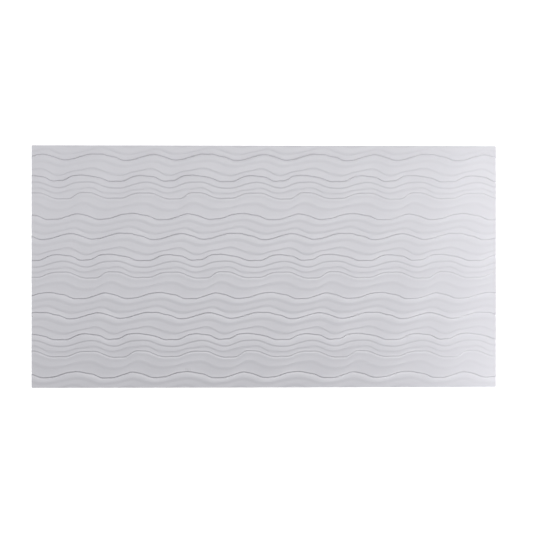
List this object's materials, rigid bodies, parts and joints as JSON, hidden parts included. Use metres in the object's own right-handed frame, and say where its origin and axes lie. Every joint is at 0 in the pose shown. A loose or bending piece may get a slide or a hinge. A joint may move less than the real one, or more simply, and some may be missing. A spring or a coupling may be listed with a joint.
{
  "type": "vinyl ceiling panel",
  "caption": "Thin rectangular ceiling panel of white vinyl, thermoformed with wandering sand ripples, for a lay-in grid or glueing up.",
  "frame": {"origin": "under the middle of the sheet, level with the lowest lines of its back", "axes": "+X along the sheet's length, +Y across its width, +Z out of the decorated face, which lies up"},
  "size_m": [1.2128, 0.6053, 0.0025],
  "materials": {
    "white_vinyl": "satin"
  },
  "bodies": {
    "root": {"panel": "white_vinyl"}
  },
  "joints": []
}
